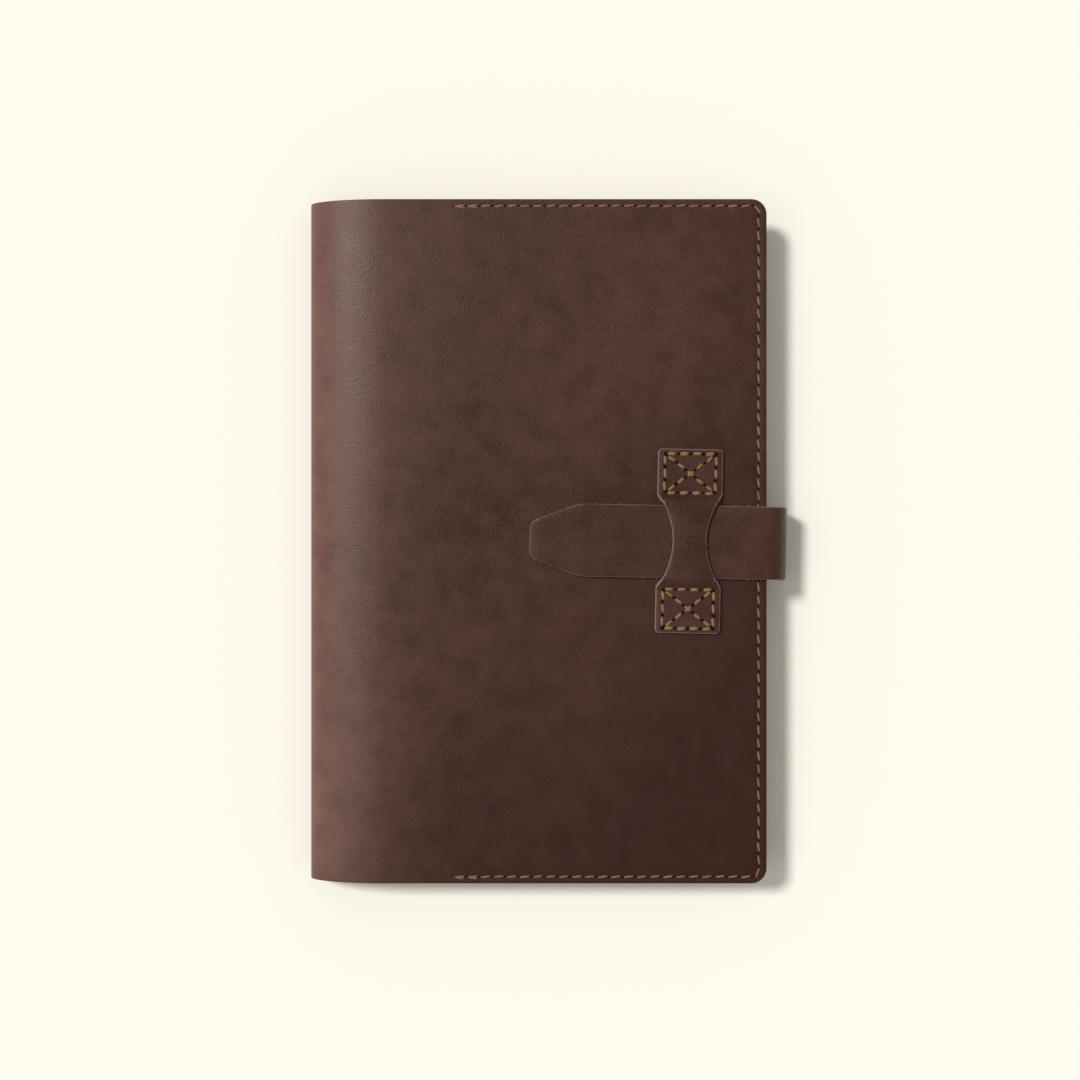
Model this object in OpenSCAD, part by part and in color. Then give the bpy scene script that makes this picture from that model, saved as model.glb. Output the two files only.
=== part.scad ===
// Leather notebook cover with a strap, a stitched keeper and a softcover notebook inside.
// Lies on its back: +X spine to fore edge, +Y tail to head, +Z back to front.

/* [Cover] */
// Height of the cover, tail to head
cover_h = 222; // [216:1:240]
// Width of the closed cover, outside of the spine to the fore edge
cover_w = 149.1; // [146:0.1:156]
// Thickness of the closed cover, table to front face
cover_t = 18.2; // [18:0.1:20]
// Thickness of the outer leather
leather_t = 1.8; // [1.6:0.1:1.9]
// Thickness of the pocket leather
lining_t = 1.2; // [0.8:0.1:1.2]
// Radius of the four fore-edge corners
corner_r = 4.9; // [3:0.1:8]
// How far the spine's round reaches over the front
front_round = 25.6; // [20:0.1:30]
// How far the spine's round reaches over the back
back_round = 14; // [12:0.1:18]
// Height of the widest point of the spine's round
round_z = 8.3; // [7:0.1:10]

/* [Pockets] */
// Depth of the pockets, open edge to fore edge
pocket_w = 101.7; // [80:0.1:110]
// Width of the glued rim on three sides of a pocket
rim_w = 4.6; // [4:0.1:6]

/* [Edge seams] */
// Number of stitches in one edge seam
stitch_count = 98; // [60:1:120]
// Distance from the head and tail edges to the seam
seam_inset = 2.2; // [1.8:0.1:3]
// Distance from the fore edge to the seam
seam_fore_inset = 3; // [2:0.1:3.5]
// Width of the thread
thread_w = 0.8; // [0.6:0.1:1]

/* [Strap] */
// Width of the strap
strap_w = 23.5; // [18:0.5:24]
// Thickness of the strap
strap_t = 1.7; // [1.4:0.1:1.7]
// How far the strap's bend stands out past the fore edge
strap_bulge = 7.4; // [6:0.1:10]
// Distance from the fore edge to the strap's tip
strap_reach = 76.8; // [60:0.1:90]
// Length of the tapered tip
tip_len = 16; // [10:0.5:22]
// Width of the blunt end of the tip
tip_w = 11.4; // [8:0.1:16]
// Length of the thinned end held in the back seam
root_len = 4.4; // [3:0.1:4.4]
// Slant of the strap across the cover, in degrees
strap_slant = 1; // [0:0.1:1.2]

/* [Keeper] */
// Distance from the fore edge to the middle of the keeper
keeper_in = 25.3; // [22:0.1:34]
// Whole length of the keeper, across the strap
keeper_len = 59.6; // [56:0.1:66]
// Width of the keeper's stitched pads
pad_w = 21; // [18:0.1:24]
// Length of one pad
pad_len = 15.9; // [14:0.1:17]
// Width of the neck over the strap
neck_w = 10.8; // [8:0.1:14]
// Thickness of the keeper
keeper_t = 1.7; // [1.4:0.1:2]

/* [Notebook] */
// Width of the notebook
book_w = 130; // [126:1:132]
// Height of the notebook
book_h = 210; // [200:1:212]
// Radius of the notebook's fore-edge corners
book_r = 6; // [3:0.5:8]
// Distance from the cover's fore edge to the notebook's fore edge
book_in = 4.8; // [4.8:0.1:6]
// Thickness of the notebook's card cover
card_t = 0.5; // [0.3:0.1:0.5]
// Number of folded signatures in the notebook
signature_count = 12; // [6:1:14]

/* [Hidden] */
fore_x = (cover_w + strap_bulge) / 2 - strap_bulge;
spine_x = fore_x - cover_w;
front_flat_x = spine_x + front_round;
back_flat_x = spine_x + back_round;
pocket_x = fore_x - pocket_w;
front_inner_z = cover_t - leather_t;
step = 0.1;
air = 0.3;

// pockets: a card-wide space behind each lining at the back, none at the empty front
back_lining_z = leather_t + card_t + 0.3;
front_lining_z = front_inner_z - step - lining_t;

// notebook
book_fore_x = fore_x - book_in;
book_spine_x = book_fore_x - book_w;
block_lo_z = back_lining_z + lining_t + step;
block_hi_z = front_lining_z - air - card_t - step;
block_x = book_spine_x + 2 * card_t;
leaf_t = 0.15;
signature_pitch = (block_hi_z - block_lo_z - 2 * leaf_t) / signature_count;
signature_gap = 0.02;

// strap, as two ellipse arcs round the fore edge
strap_gap = 0.3;
strap_lo_z = cover_t + strap_gap;
strap_hi_z = strap_lo_z + strap_t;
bend_x = fore_x + strap_gap + 0.05;
bend_lo_z = 1.2;
bend_z = (strap_hi_z + bend_lo_z) / 2;
bend_a = fore_x + strap_bulge - bend_x;
bend_b = strap_hi_z - bend_z;
strap_slot_w = strap_w + 2;
skived_t = back_lining_z - leather_t - step / 2;

// keeper
keeper_x = fore_x - keeper_in;
keeper_lo_z = cover_t;
neck_lo_z = strap_hi_z + air;
ramp_out_y = 15.2;
ramp_in_y = 12.4;

// seams
thread_t = 0.5;
thread_sunk = 0.3;
seam_r = 2.5;
seam_y = cover_h / 2 - seam_inset;
seam_x = fore_x - seam_fore_inset;
run_x = seam_x - seam_r - pocket_x;
run_arc = seam_r * PI / 2;
run_y = 2 * (seam_y - seam_r);
seam_len = 2 * run_x + 2 * run_arc + run_y;
stitch_pitch = seam_len / stitch_count;
stitch_share = 0.78;
box_seam_l = 16.4;
box_seam_h = 12.7;
keeper_thread_w = 1.1;

leather = [0.30, 0.21, 0.19];
flesh = [0.42, 0.30, 0.25];
thread = [0.55, 0.38, 0.18];
paper = [0.93, 0.90, 0.82];
card = [0.16, 0.14, 0.13];

SIGNATURES = [for (i = [1:signature_count]) str("signature_", i)];

// points of an arc, from one angle to another
function arc(x, y, a, b, from, to, n = 10) =
    [for (i = [0:n]) let (t = from + (to - from) * i / n) [x + a * cos(t), y + b * sin(t)]];

// outline of a sheet that is square at x0 and has round corners at x1
function sheet_outline(x0, x1, h, r) = concat(
    [[x0, -h / 2]],
    arc(x1 - r, -h / 2 + r, r, r, -90, 0),
    arc(x1 - r, h / 2 - r, r, r, 0, 90),
    [[x0, h / 2]]
);

// place on the edge seam at distance s from its start at the head: [x, y, direction]
function seam_at(s) =
    s < run_x ? [pocket_x + s, seam_y, 0]
    : s < run_x + run_arc ? seam_corner((s - run_x) / run_arc, 1)
    : s < run_x + run_arc + run_y ? [seam_x, seam_y - seam_r - (s - run_x - run_arc), -90]
    : s < seam_len - run_x ? seam_corner((s - run_x - run_arc - run_y) / run_arc, -1)
    : [pocket_x + seam_len - s, -seam_y, 180];

// place on a seam corner: share 0 to 1 of the turn, at the head (1) or the tail (-1)
function seam_corner(share, side) =
    let (t = side > 0 ? 90 - 90 * share : -90 * share)
    [seam_x - seam_r + seam_r * cos(t), side * (seam_y - seam_r) + seam_r * sin(t), t - 90];

module sheet(x0, x1, h, r, z, t) {
    translate([0, 0, z])
        linear_extrude(t)
            polygon(sheet_outline(x0, x1, h, r));
}

// a profile drawn in X and Z, extruded along Y about the middle
module along_y(h) {
    rotate([90, 0, 0])
        linear_extrude(h, center = true)
            children();
}

module back_panel() {
    color(leather)
        sheet(back_flat_x, fore_x, cover_h, corner_r, 0, leather_t);
}

module front_panel() {
    color(leather)
        sheet(front_flat_x, fore_x, cover_h, corner_r, front_inner_z, leather_t);
}

module spine() {
    rise = cover_t - round_z;
    outer = concat(
        arc(back_flat_x, round_z, back_round, round_z, 270, 180, 16),
        arc(front_flat_x, round_z, front_round, rise, 180, 90, 20)
    );
    inner = concat(
        arc(front_flat_x, round_z, front_round - leather_t, rise - leather_t, 90, 180, 20),
        arc(back_flat_x, round_z, back_round - leather_t, round_z - leather_t, 180, 270, 16)
    );
    color(leather)
        along_y(cover_h)
            polygon(concat(outer, inner));
}

// a pocket sheet with a rim towards the outer leather on its three sewn sides
module pocket(z, rim_z, rim_t) {
    sheet(pocket_x, fore_x, cover_h, corner_r, z, lining_t);
    difference() {
        sheet(pocket_x, fore_x, cover_h, corner_r, rim_z, rim_t);
        translate([pocket_x - 1, -cover_h / 2 + rim_w, rim_z - 1])
            cube([pocket_w - rim_w + 1, cover_h - 2 * rim_w, rim_t + 2]);
    }
}

module back_pocket() {
    color(flesh)
        difference() {
            pocket(back_lining_z, leather_t, back_lining_z - leather_t);
            translate([fore_x - root_len - 2, -strap_slot_w / 2, leather_t - 1])
                cube([root_len + 4, strap_slot_w, back_lining_z - leather_t + 1]);
        }
}

module front_pocket() {
    color(flesh)
        pocket(front_lining_z, front_lining_z + lining_t, step);
}

// one row of stitches round a pocket, lying on height z
module edge_stitches(z) {
    for (i = [0:stitch_count - 1]) {
        place = seam_at((i + 0.5) * stitch_pitch);
        translate([place[0], place[1], z])
            rotate(place[2])
                cube([stitch_pitch * stitch_share, thread_w, thread_t], center = true);
    }
}

module back_seam() {
    color(thread) {
        edge_stitches(thread_t / 2);
        edge_stitches(back_lining_z + lining_t + step - thread_t / 2);
    }
}

module front_seam() {
    color(thread) {
        edge_stitches(cover_t - thread_sunk + thread_t / 2);
        edge_stitches(front_lining_z - step + thread_t / 2);
    }
}

// side view of the strap: thinned end in the seam, bend round the fore edge, straight tail
module strap_profile() {
    tip_x = fore_x - strap_reach;
    polygon(concat(
        [[fore_x - root_len, leather_t + step / 4], [bend_x, leather_t + step / 4]],
        arc(bend_x, bend_z, bend_a, bend_b, -90, 90, 28),
        [[tip_x, strap_hi_z], [tip_x, strap_lo_z]],
        arc(bend_x, bend_z, bend_a - strap_t, bend_b - strap_t, 90, -90, 28),
        [[bend_x, leather_t + skived_t], [fore_x - root_len, leather_t + skived_t]]
    ));
}

// plan view of the strap: blunt tapered tip with eased corners
module strap_outline() {
    tip_x = fore_x - strap_reach;
    ease = 2;
    end_x = fore_x + strap_bulge + 1;
    polygon([
        [tip_x + ease * 0.3, -tip_w / 2 + ease * 0.2],
        [tip_x + ease, -tip_w / 2 - ease * 0.4],
        [tip_x + tip_len - ease, -strap_w / 2 + ease * 0.5],
        [tip_x + tip_len + ease, -strap_w / 2],
        [end_x, -strap_w / 2],
        [end_x, strap_w / 2],
        [tip_x + tip_len + ease, strap_w / 2],
        [tip_x + tip_len - ease, strap_w / 2 - ease * 0.5],
        [tip_x + ease, tip_w / 2 + ease * 0.4],
        [tip_x + ease * 0.3, tip_w / 2 - ease * 0.2],
        [tip_x, tip_w / 2 - ease],
        [tip_x, -tip_w / 2 + ease]
    ]);
}

module strap() {
    slant_x = fore_x - strap_reach / 2;
    color(leather)
        translate([slant_x, 0, 0])
            rotate(-strap_slant)
                translate([-slant_x, 0, 0])
                    intersection() {
                        along_y(strap_w + 2)
                            strap_profile();
                        linear_extrude(strap_hi_z + 1)
                            strap_outline();
                    }
}

// plan view of the keeper: two pads joined by a neck with hollow sides
module keeper_outline() {
    pad_in_y = keeper_len / 2 - pad_len;
    hollow = (pad_w - neck_w) / 2;
    round_r = 1.6;
    right = concat(
        arc(pad_w / 2 - round_r, -keeper_len / 2 + round_r, round_r, round_r, -90, 0, 5),
        arc(pad_w / 2, 0, hollow, pad_in_y + 1, -90, -270, 18),
        arc(pad_w / 2 - round_r, keeper_len / 2 - round_r, round_r, round_r, 0, 90, 5)
    );
    left = [for (i = [len(right) - 1:-1:0]) [-right[i][0], right[i][1]]];
    polygon(concat(right, left));
}

// side view of the keeper along the strap's width, drawn in Y and Z
module keeper_profile() {
    end_y = keeper_len / 2;
    hi_z = keeper_lo_z + keeper_t;
    neck_hi_z = neck_lo_z + keeper_t;
    polygon([
        [-end_y, keeper_lo_z], [-ramp_out_y, keeper_lo_z], [-ramp_in_y, neck_lo_z],
        [ramp_in_y, neck_lo_z], [ramp_out_y, keeper_lo_z], [end_y, keeper_lo_z],
        [end_y, hi_z], [ramp_out_y + 0.6, hi_z], [ramp_in_y + 0.6, neck_hi_z],
        [-ramp_in_y - 0.6, neck_hi_z], [-ramp_out_y - 0.6, hi_z], [-end_y, hi_z]
    ]);
}

module keeper() {
    color(leather)
        intersection() {
            translate([keeper_x - pad_w / 2 - 1, 0, 0])
                rotate([90, 0, 90])
                    linear_extrude(pad_w + 2)
                        keeper_profile();
            translate([keeper_x, 0, 0])
                linear_extrude(neck_lo_z + keeper_t + 1)
                    keeper_outline();
        }
}

// a row of stitches between two points of a pad
module stitch_row(from, to, count) {
    run = to - from;
    for (i = [0:count - 1]) {
        middle = from + run * (i + 0.5) / count;
        translate([middle[0], middle[1], keeper_lo_z + keeper_t - thread_sunk + thread_t / 2])
            rotate(atan2(run[1], run[0]))
                cube([norm(run) / count * 0.7, keeper_thread_w, thread_t], center = true);
    }
}

// a box of stitches with a cross in it, at the head (1) or the tail (-1) pad
module pad_stitches(side) {
    x = box_seam_l / 2;
    y = box_seam_h / 2;
    translate([keeper_x, side * (keeper_len - pad_len) / 2, 0]) {
        stitch_row([-x, y], [x, y], 4);
        stitch_row([-x, -y], [x, -y], 4);
        stitch_row([-x, -y], [-x, y], 3);
        stitch_row([x, -y], [x, y], 3);
        for (corner = [0:3]) {
            turn = [[1, 1], [-1, 1], [-1, -1], [1, -1]][corner];
            stitch_row([turn[0] * x * 0.2, turn[1] * y * 0.2], [turn[0] * x * 0.86, turn[1] * y * 0.84], 2);
        }
    }
}

module head_pad_stitches() {
    color(thread)
        pad_stitches(1);
}

module tail_pad_stitches() {
    color(thread)
        pad_stitches(-1);
}

// one folded card: back leaf in the back pocket, spine, front leaf on the pages
module notebook_cover() {
    hi_z = block_hi_z + step + card_t;
    color(card) {
        difference() {
            sheet(book_spine_x, book_fore_x, book_h, book_r, leather_t + step, hi_z - leather_t - step);
            translate([book_spine_x + card_t, -book_h, leather_t + step + card_t])
                cube([book_w, 2 * book_h, block_hi_z - leather_t - card_t]);
        }
    }
}

module page_sheet(z, t) {
    sheet(block_x, book_fore_x - 0.6, book_h - 1.2, book_r, z, t);
}

module back_endpaper() {
    color(paper)
        page_sheet(block_lo_z, leaf_t - signature_gap);
}

module front_endpaper() {
    color(paper)
        page_sheet(block_hi_z - leaf_t, leaf_t);
}

// strip of cloth glued over the folds of the signatures
module spine_mull() {
    color(paper)
        translate([book_spine_x + card_t + 0.05, -book_h / 2 + 8, block_lo_z])
            cube([card_t - 0.1, book_h - 16, block_hi_z - block_lo_z]);
}

module signature(i) {
    color(paper)
        page_sheet(block_lo_z + leaf_t + (i - 1) * signature_pitch, signature_pitch - signature_gap);
}

back_panel();
spine();
front_panel();
back_pocket();
front_pocket();
back_seam();
front_seam();
strap();
keeper();
head_pad_stitches();
tail_pad_stitches();
notebook_cover();
back_endpaper();
front_endpaper();
spine_mull();
for (i = [1:signature_count])
    signature(i);
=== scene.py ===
import math
import random

import bmesh
import bpy
from mathutils import Matrix, Vector, noise


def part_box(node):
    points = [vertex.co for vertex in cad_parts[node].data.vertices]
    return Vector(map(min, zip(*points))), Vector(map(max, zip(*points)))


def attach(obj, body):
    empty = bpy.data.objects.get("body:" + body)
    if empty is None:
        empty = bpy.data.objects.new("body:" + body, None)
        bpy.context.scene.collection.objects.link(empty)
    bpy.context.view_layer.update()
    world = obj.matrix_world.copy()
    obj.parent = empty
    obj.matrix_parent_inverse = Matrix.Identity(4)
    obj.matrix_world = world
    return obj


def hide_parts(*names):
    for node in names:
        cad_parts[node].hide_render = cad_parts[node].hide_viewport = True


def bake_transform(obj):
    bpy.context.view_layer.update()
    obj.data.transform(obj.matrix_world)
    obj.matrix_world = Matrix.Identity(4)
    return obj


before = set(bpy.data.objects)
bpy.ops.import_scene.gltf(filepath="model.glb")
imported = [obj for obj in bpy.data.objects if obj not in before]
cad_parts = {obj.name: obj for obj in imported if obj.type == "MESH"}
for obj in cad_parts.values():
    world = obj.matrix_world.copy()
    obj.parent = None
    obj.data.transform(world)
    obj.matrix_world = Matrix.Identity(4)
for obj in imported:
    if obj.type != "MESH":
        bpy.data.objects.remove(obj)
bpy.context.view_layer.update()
mm = 0.001

backLow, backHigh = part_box("back_panel")
frontLow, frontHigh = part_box("front_panel")
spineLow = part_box("spine")[0]
pocketLow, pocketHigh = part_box("back_pocket")
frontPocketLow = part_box("front_pocket")[0]
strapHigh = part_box("strap")[1]
keeperLow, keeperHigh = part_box("keeper")
bookLow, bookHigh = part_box("notebook_cover")

foreX = backHigh.x
halfH = backHigh.y
leatherT = backHigh.z
coverT = frontHigh.z
keeperX = (keeperLow.x + keeperHigh.x) / 2

# camera and light first, so that every piece can be looked at as it is made

studio = {
    "eye": (-2.65 * mm, 0.4 * mm, 528 * mm),
    "lens": 52.4,
    "keyTo": (-10.4, 6.5, 18.2),
    "keyStrength": 2.55,
    "keySpread": 11,
    "sideTo": (-11.0, -3.0, 18.0),
    "sideStrength": 0.25,
    "sideSpread": 30,
    "sky": (1.0, 0.985, 0.96),
    "skyStrength": 0.44,
    "floor": (0.862, 0.836, 0.772),
}


def setUpStudio():
    scene = bpy.context.scene
    scene.view_settings.view_transform = "Standard"
    scene.view_settings.look = "None"
    lens = bpy.data.cameras.new("overheadLens")
    lens.lens = studio["lens"]
    lens.sensor_width = 36
    camera = bpy.data.objects.new("overheadCamera", lens)
    camera.location = studio["eye"]
    scene.collection.objects.link(camera)
    scene.camera = camera
    for part in ("key", "side"):
        light = bpy.data.lights.new(part + "Light", "SUN")
        light.energy = studio[part + "Strength"]
        light.angle = math.radians(studio[part + "Spread"])
        light.color = (1.0, 0.985, 0.955)
        lamp = bpy.data.objects.new(part + "Light", light)
        lamp.rotation_mode = "QUATERNION"
        lamp.rotation_quaternion = Vector(studio[part + "To"]).to_track_quat("Z", "Y")
        scene.collection.objects.link(lamp)
    world = bpy.data.worlds.new("softRoom")
    scene.world = world
    world.use_nodes = True
    sky = world.node_tree.nodes["Background"]
    sky.inputs["Color"].default_value = (*studio["sky"], 1)
    sky.inputs["Strength"].default_value = studio["skyStrength"]


# small helpers for working in edit mode

def dropSelection():
    if bpy.context.object and bpy.context.object.mode != "OBJECT":
        bpy.ops.object.mode_set(mode="OBJECT")
    bpy.ops.object.select_all(action="DESELECT")


def choose(piece):
    dropSelection()
    piece.select_set(True)
    bpy.context.view_layer.objects.active = piece


def openMesh(piece):
    choose(piece)
    bpy.ops.object.mode_set(mode="EDIT")
    bpy.ops.mesh.select_all(action="DESELECT")


def closeMesh():
    bpy.ops.object.mode_set(mode="OBJECT")


def pick(kind, test):
    bpy.ops.mesh.select_mode(type=kind)
    bpy.ops.mesh.select_all(action="DESELECT")
    shape = bmesh.from_edit_mesh(bpy.context.edit_object.data)
    items = {"VERT": shape.verts, "EDGE": shape.edges, "FACE": shape.faces}[kind]
    for item in items:
        if test(item):
            item.select_set(True)
    bmesh.update_edit_mesh(bpy.context.edit_object.data)


def near(a, b, gap=0.02 * mm):
    return abs(a - b) < gap


# a flat strip of leather at its place, from x0 to x1 and y0 to y1
def layStrip(name, x0, x1, y0, y1, z):
    dropSelection()
    bpy.ops.mesh.primitive_plane_add(size=1, location=((x0 + x1) / 2, (y0 + y1) / 2, z))
    piece = bpy.context.object
    piece.name = piece.data.name = name
    piece.scale = (x1 - x0, y1 - y0, 1)
    bpy.ops.object.transform_apply(location=True, rotation=True, scale=True)
    return piece


# carries the selected edge from point to point; widths are the edge's width at each point
def drawOut(points, along=0, widths=None):
    for i in range(1, len(points)):
        step = [b - a for a, b in zip(points[i - 1], points[i])]
        move = (step[0], 0, step[1]) if along == 0 else (0, step[0], step[1])
        bpy.ops.mesh.extrude_edges_move(TRANSFORM_OT_translate={"value": move})
        if widths and not near(widths[i], widths[i - 1], 1e-7):
            ratio = widths[i] / widths[i - 1]
            across = (1, ratio, 1) if along == 0 else (ratio, 1, 1)
            centre = (points[i][0], 0, points[i][1]) if along == 0 else (keeperX, points[i][0], points[i][1])
            bpy.ops.transform.resize(value=across, center_override=centre)


# cuts rows across the whole mesh, so that it can be shaped between them
def cutRows(places, axis):
    for place in places:
        bpy.ops.mesh.select_mode(type="FACE")
        bpy.ops.mesh.select_all(action="SELECT")
        point, normal = [0, 0, 0], [0, 0, 0]
        point[axis], normal[axis] = place, 1
        bpy.ops.mesh.bisect(plane_co=point, plane_no=normal)


def roundCorners(test, radius, segments=6):
    pick("VERT", test)
    bpy.ops.mesh.bevel(offset=radius, segments=segments, affect="VERTICES")


def applyModifier(piece, kind, **settings):
    choose(piece)
    modifier = piece.modifiers.new(kind.title(), kind)
    for key, value in settings.items():
        setattr(modifier, key, value)
    bpy.ops.object.modifier_apply(modifier=modifier.name)


# gives a sheet its thickness, inwards from its outer face, and eases its cut edges
def thicken(piece, thickness, ease, segments=3, thin=None):
    extra = {"vertex_group": "full", "thickness_vertex_group": thin} if thin else {}
    applyModifier(piece, "SOLIDIFY", thickness=thickness, offset=-1, use_even_offset=True,
                  material_offset=1, material_offset_rim=2, **extra)
    applyModifier(piece, "BEVEL", width=ease, segments=segments, limit_method="ANGLE",
                  angle_limit=math.radians(50), use_clamp_overlap=True)


# marks the vertices of the cut edge, so that the leather can wear lighter beside it
def markWear(piece, ease):
    wear = piece.data.attributes.new("wear", "FLOAT", "POINT")
    values = [0.0] * len(piece.data.vertices)
    for face in piece.data.polygons:
        if face.material_index == 2:
            for index in face.vertices:
                values[index] = 1.0
    points = piece.data.vertices
    short = [edge.vertices[:] for edge in piece.data.edges
             if (points[edge.vertices[0]].co - points[edge.vertices[1]].co).length < ease * 0.7]
    for fade in (0.9, 0.5):
        worn = [(a, b) for a, b in short if (values[a] > 0) != (values[b] > 0)]
        for a, b in worn:
            values[a], values[b] = max(values[a], fade), max(values[b], fade)
    for face in piece.data.polygons:
        corners = [points[index].co for index in face.vertices]
        sides = [(a - b).length for a, b in zip(corners, corners[1:] + corners[:1])]
        if face.material_index < 2 and min(sides) > ease * 0.7:
            for index in face.vertices:
                values[index] = 0.0
    wear.data.foreach_set("value", values)


def softShade(piece):
    choose(piece)
    bpy.ops.object.shade_smooth_by_angle(angle=math.radians(42))


def copyOf(model):
    copy = model.copy()
    copy.data = model.data.copy()
    bpy.context.scene.collection.objects.link(copy)
    return copy


def joinAll(parts, name):
    dropSelection()
    for part in parts:
        part.select_set(True)
    bpy.context.view_layer.objects.active = parts[0]
    bpy.ops.object.join()
    whole = bpy.context.object
    whole.name = whole.data.name = name
    return whole


# materials

def addNode(tree, kind, inputs=None, **properties):
    made = tree.nodes.new(kind)
    for key, value in properties.items():
        setattr(made, key, value)
    for key, value in (inputs or {}).items():
        if isinstance(value, bpy.types.NodeSocket):
            tree.links.new(value, made.inputs[key])
        else:
            made.inputs[key].default_value = value
    return made


def newFinish(name, roughness, specular, sheen=0.0, sheenTint=(1, 1, 1)):
    finish = bpy.data.materials.new(name)
    finish.use_nodes = True
    tree = finish.node_tree
    shader = tree.nodes["Principled BSDF"]
    shader.inputs["Roughness"].default_value = roughness
    shader.inputs["Specular IOR Level"].default_value = specular
    shader.inputs["Sheen Weight"].default_value = sheen
    shader.inputs["Sheen Tint"].default_value = (*sheenTint, 1)
    return finish, tree, shader


def stretch(tree, place, scale):
    return addNode(tree, "ShaderNodeMapping", {"Vector": place, "Scale": scale}).outputs["Vector"]


def cloud(tree, place, scale, detail=3.0, roughness=0.55):
    inputs = {"Vector": place, "Scale": scale, "Detail": detail, "Roughness": roughness}
    return addNode(tree, "ShaderNodeTexNoise", inputs).outputs["Fac"]


def spread(tree, value, low, high, toLow=0.0, toHigh=1.0):
    inputs = {"Value": value, "From Min": low, "From Max": high, "To Min": toLow, "To Max": toHigh}
    return addNode(tree, "ShaderNodeMapRange", inputs).outputs["Result"]


def combine(tree, operation, a, b):
    return addNode(tree, "ShaderNodeMath", {0: a, 1: b}, operation=operation).outputs[0]


# adds up values, each times its own share
def mixture(tree, *shares):
    total = None
    for value, share in shares:
        part = combine(tree, "MULTIPLY", value, share)
        total = combine(tree, "ADD", total, part) if total is not None else part
    return total


# mixes two colours; on this node sockets 6 and 7 are the colours and output 2 is the mixed one
def tint(tree, factor, a, b):
    mixed = addNode(tree, "ShaderNodeMix", {0: factor}, data_type="RGBA")
    for index, colour in ((6, a), (7, b)):
        if isinstance(colour, bpy.types.NodeSocket):
            tree.links.new(colour, mixed.inputs[index])
        else:
            mixed.inputs[index].default_value = (*colour, 1)
    return mixed.outputs[2]


def bump(tree, height, distance, strength):
    inputs = {"Height": height, "Distance": distance, "Strength": strength}
    return addNode(tree, "ShaderNodeBump", inputs).outputs["Normal"]


grain = {
    "specular": 0.19,
    "smoothest": 0.35,
    "roughest": 0.48,
    "slowScale": 13,
    "mottleScale": 110,
    "speckScale": 1700,
    "slow": 0.30,
    "mottle": 0.26,
    "speck": 0.44,
    # how fast the spine's lightening grows: partly pull-up of the stretched leather, partly painted
    # highlight
    "pullAndHighlightPower": 2.4,
    # painted shade: the cover darkens towards the lower right, away from the light
    "paintedShadeFrom": -0.01,
    "paintedShadeTo": 0.09,
    "paintedShade": 0.8,
    "scuffed": 0.22,
    "poreScale": 1900.0,
    "creaseScale": 700,
    "pore": 0.7,
    "crease": 0.45,
    "depth": 0.12 * mm,
}
coverLook = {
    "dark": (0.0255, 0.0078, 0.0038),
    "light": (0.078, 0.0315, 0.0225),
    # lighter colour on the spine side: partly pulled-up leather, partly painted highlight
    "pulledAndHighlit": (0.185, 0.096, 0.076),
    "scuff": (0.13, 0.070, 0.054),
    "worn": (0.105, 0.050, 0.036),
    "wear": 0.5,
}
strapLook = {
    "dark": (0.0265, 0.0090, 0.0050),
    "light": (0.074, 0.0310, 0.0225),
    "scuff": (0.13, 0.070, 0.054),
    "worn": (0.27, 0.165, 0.135),
    "wear": 0.95,
}


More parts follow.
